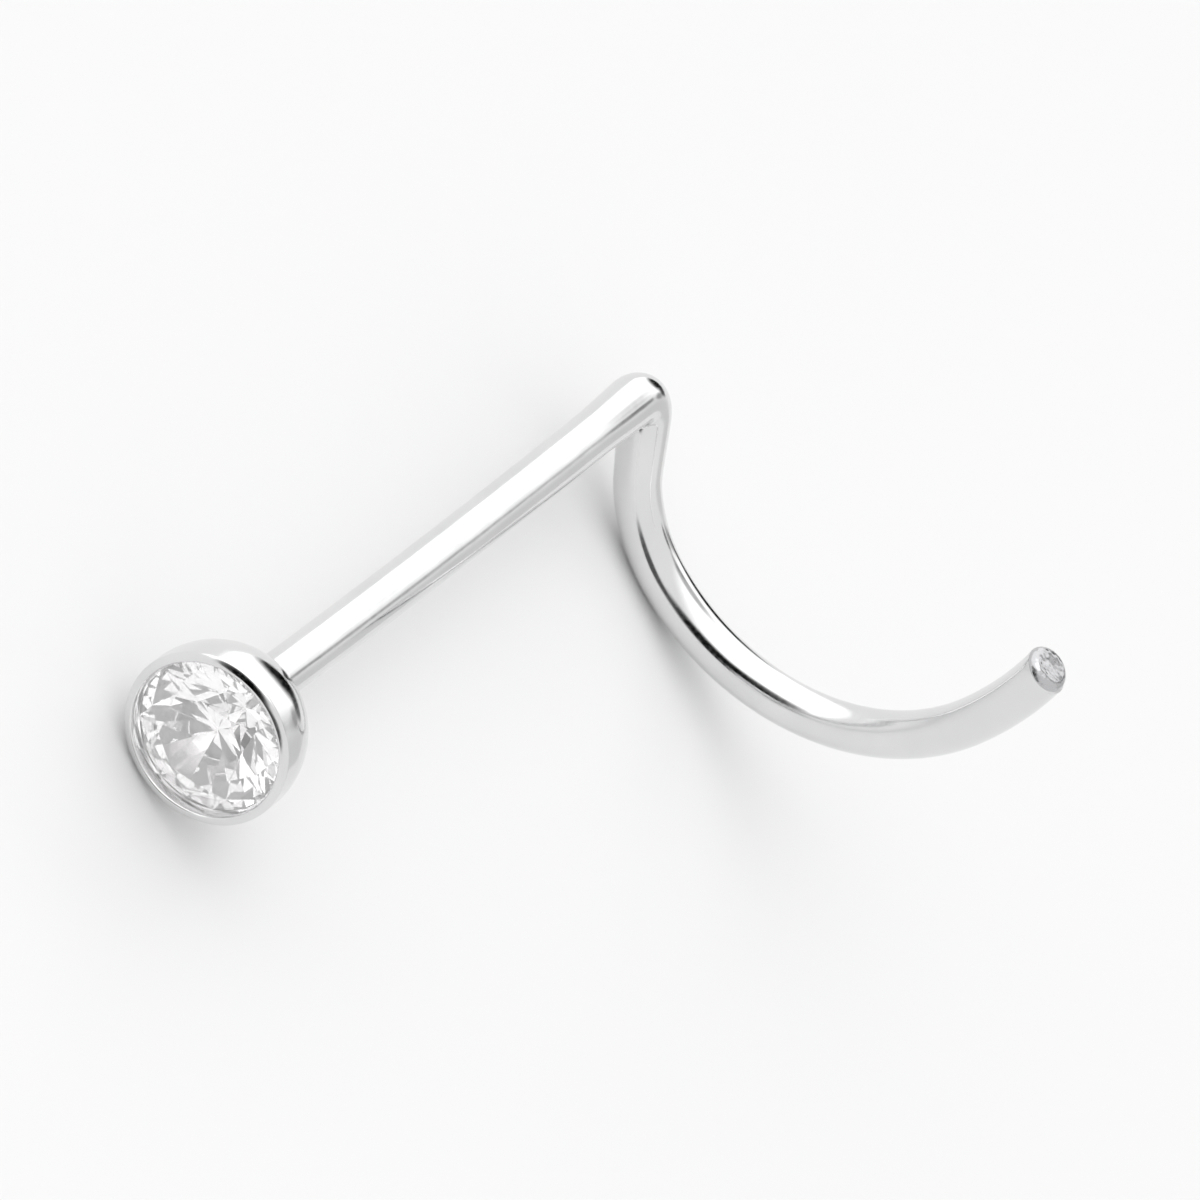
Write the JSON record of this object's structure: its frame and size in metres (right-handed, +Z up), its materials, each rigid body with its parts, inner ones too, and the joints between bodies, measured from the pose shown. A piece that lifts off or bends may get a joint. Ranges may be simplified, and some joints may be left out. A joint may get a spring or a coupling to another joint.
{
  "type": "nose stud",
  "caption": "Screw-shaped nose stud: a round bezel cup with a brilliant-cut clear stone on a straight wire post that turns a tight corner into an open round hook.",
  "frame": {"origin": "centre of the underside of the stud's box, on the surface that it lies on", "axes": "+Y along the post from the stone to the hook, within about a degree; +Z up from the surface, with the cup's rim and the hook's belly down; +X the way the hook reaches out"},
  "size_m": [0.0054, 0.0092, 0.0043],
  "materials": {
    "polished_silver": "polished",
    "clear_stone": "faceted"
  },
  "bodies": {
    "root": {"cup_post_and_hook": "polished_silver", "stone": "clear_stone"}
  },
  "joints": []
}
